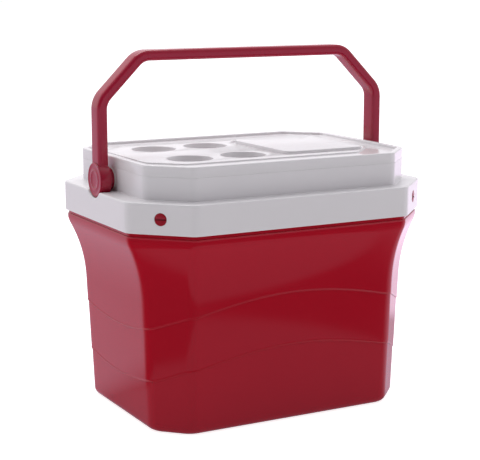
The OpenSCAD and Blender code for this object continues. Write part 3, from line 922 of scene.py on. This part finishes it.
def ramp(tree, source, at, start, end, low, high):
    """A smooth change from low to high as the source goes from start to end."""
    change = node(tree, "ShaderNodeMapRange", at, interpolation_type="SMOOTHSTEP")
    for key, value in (("From Min", start), ("From Max", end), ("To Min", low), ("To Max", high)):
        change.inputs[key].default_value = value
    link(tree, source, change.inputs["Value"])
    return change.outputs[0]


def floor_glare(tree):
    """What gloss reflects of the floor: bright behind and far off, dim in front beyond a pool."""
    place = node(tree, "ShaderNodeTexCoord", (-1300, -600))
    heading = node(tree, "ShaderNodeVectorMath", (-1100, -500), operation="NORMALIZE")
    link(tree, place.outputs["Object"], heading.inputs[0])
    facing = node(tree, "ShaderNodeVectorMath", (-900, -500), operation="DOT_PRODUCT")
    facing.inputs[1].default_value = DARK_SIDE
    link(tree, heading.outputs["Vector"], facing.inputs[0])
    sides = ramp(tree, facing.outputs["Value"], (-700, -500), 0.45, -0.15, 0.08, 0.78)
    right = node(tree, "ShaderNodeVectorMath", (-900, -300), operation="DOT_PRODUCT")
    right.inputs[1].default_value = (0.88, 0.47, 0.0)
    link(tree, heading.outputs["Vector"], right.inputs[0])
    strip = ramp(tree, right.outputs["Value"], (-700, -300), 0.75, 0.95, 0.0, 1.6)
    away = node(tree, "ShaderNodeVectorMath", (-900, -750), operation="DISTANCE")
    away.inputs[1].default_value = (-0.05, -0.25, 0.0)
    link(tree, place.outputs["Object"], away.inputs[0])
    pool = ramp(tree, away.outputs["Value"], (-700, -750), 0.46, 0.38, 0.0, 0.36)
    wall = ramp(tree, away.outputs["Value"], (-700, -1000), 2.2, 2.8, 0.0, 0.85)
    far = ramp(tree, away.outputs["Value"], (-700, -1200), 0.62, 0.85, 0.0, 1.0)
    far_strip = node(tree, "ShaderNodeMath", (-500, -300), operation="MULTIPLY")
    link(tree, strip, far_strip.inputs[0])
    link(tree, far, far_strip.inputs[1])
    total = sides
    for i, other in enumerate((pool, wall, far_strip.outputs[0])):
        brighter = node(tree, "ShaderNodeMath", (-450 + 150 * i, -700), operation="MAXIMUM")
        link(tree, total, brighter.inputs[0])
        link(tree, other, brighter.inputs[1])
        total = brighter.outputs[0]
    return total


def make_floor():
    """A large flat sheet of white at height zero, which the box stands on."""
    size, cells = 60.0, 4
    line = np.linspace(-size / 2, size / 2, cells + 1)
    x, y = np.meshgrid(line, line)
    points = np.column_stack([x.ravel(), y.ravel(), np.zeros(x.size)])
    i, j = np.meshgrid(np.arange(cells), np.arange(cells))
    a = (i * (cells + 1) + j).ravel()
    quads = np.stack([a, a + 1, a + cells + 2, a + cells + 1], 1)
    mesh = bpy.data.meshes.new("floor")
    mesh.from_pydata(points, [], quads.tolist())
    floor = bpy.data.objects.new("floor", mesh)
    bpy.context.scene.collection.objects.link(floor)
    material = bpy.data.materials.new("floor_white")
    material.use_nodes = True
    tree = material.node_tree
    shader = tree.nodes["Principled BSDF"]
    shader.inputs["Base Color"].default_value = (0.8, 0.8, 0.8, 1)
    shader.inputs["Roughness"].default_value = 0.9
    shader.inputs["Specular IOR Level"].default_value = 0.0
    rays = node(tree, "ShaderNodeLightPath", (-300, -300))
    glow = node(tree, "ShaderNodeMath", (-100, -300), operation="MULTIPLY_ADD")
    glow.inputs[1].default_value = 0.6
    glow.inputs[2].default_value = 0.20
    link(tree, rays.outputs["Is Camera Ray"], glow.inputs[0])
    shader.inputs["Emission Color"].default_value = (1, 1, 1, 1)
    link(tree, glow.outputs[0], shader.inputs["Emission Strength"])
    seen = node(tree, "ShaderNodeEmission", (0, -500))
    seen.inputs["Color"].default_value = GLARE_TINT
    link(tree, floor_glare(tree), seen.inputs["Strength"])
    mix = node(tree, "ShaderNodeMixShader", (300, 0))
    link(tree, rays.outputs["Is Glossy Ray"], mix.inputs[0])
    link(tree, shader.outputs[0], mix.inputs[1])
    link(tree, seen.outputs[0], mix.inputs[2])
    link(tree, mix.outputs[0], tree.nodes["Material Output"].inputs["Surface"])
    mesh.materials.append(material)


make_floor()


# %% World
def make_world():
    """White to the camera; to the box, bright behind and above and dim in front."""
    world = bpy.data.worlds.new("studio")
    bpy.context.scene.world = world
    world.use_nodes = True
    tree = world.node_tree
    tree.nodes.clear()
    place = node(tree, "ShaderNodeTexCoord", (-900, 0))
    facing = node(tree, "ShaderNodeVectorMath", (-700, 0), operation="DOT_PRODUCT")
    facing.inputs[1].default_value = DARK_SIDE
    link(tree, place.outputs["Generated"], facing.inputs[0])
    room = node(tree, "ShaderNodeBackground", (-200, 100))
    room.inputs["Color"].default_value = ROOM_TINT
    link(tree, ramp(tree, facing.outputs["Value"], (-500, 100), 0.92, -0.1, 0.16, 1.0),
         room.inputs["Strength"])
    white = node(tree, "ShaderNodeBackground", (-200, -100), Strength=1.0)
    white.inputs["Color"].default_value = (1, 1, 1, 1)
    rays = node(tree, "ShaderNodeLightPath", (-200, 300))
    mix = node(tree, "ShaderNodeMixShader", (50, 100))
    out = node(tree, "ShaderNodeOutputWorld", (250, 100))
    link(tree, rays.outputs["Is Camera Ray"], mix.inputs[0])
    link(tree, room.outputs[0], mix.inputs[1])
    link(tree, white.outputs[0], mix.inputs[2])
    link(tree, mix.outputs[0], out.inputs["Surface"])


make_world()


# %% Lamps
def softbox(name, at, aim, size, power):
    """A square area lamp that faces a point."""
    lamp = bpy.data.lights.new(name, "AREA")
    lamp.shape, lamp.size, lamp.energy = "SQUARE", size, power
    obj = bpy.data.objects.new(name, lamp)
    obj.location = at
    obj.rotation_euler = (Vector(aim) - Vector(at)).to_track_quat("-Z", "Y").to_euler()
    obj.visible_camera = False
    bpy.context.scene.collection.objects.link(obj)


softbox("key", at=(0.0, 0.7, 2.1), aim=(0, 0, 0.3), size=1.4, power=20)
bpy.context.scene.view_settings.view_transform = "Standard"

# %% [markdown]
# ## Camera
#
# A long lens from the front left and a little above, so that the verticals stay upright and
# the lid's top just shows.

# %% Camera
AZIMUTH, ELEVATION, DISTANCE = math.radians(-28.5), math.radians(10.6), 2.132
AIM = Vector((-0.0048, 0, 0.2639))
back = Vector((math.sin(AZIMUTH) * math.cos(ELEVATION),
               -math.cos(AZIMUTH) * math.cos(ELEVATION), math.sin(ELEVATION)))
lens = bpy.data.cameras.new("camera")
lens.lens, lens.sensor_width = 102.4, 36.0
camera = bpy.data.objects.new("camera", lens)
camera.location = AIM + back * DISTANCE
camera.rotation_euler = (-back).to_track_quat("-Z", "Y").to_euler()
bpy.context.scene.collection.objects.link(camera)
bpy.context.scene.camera = camera
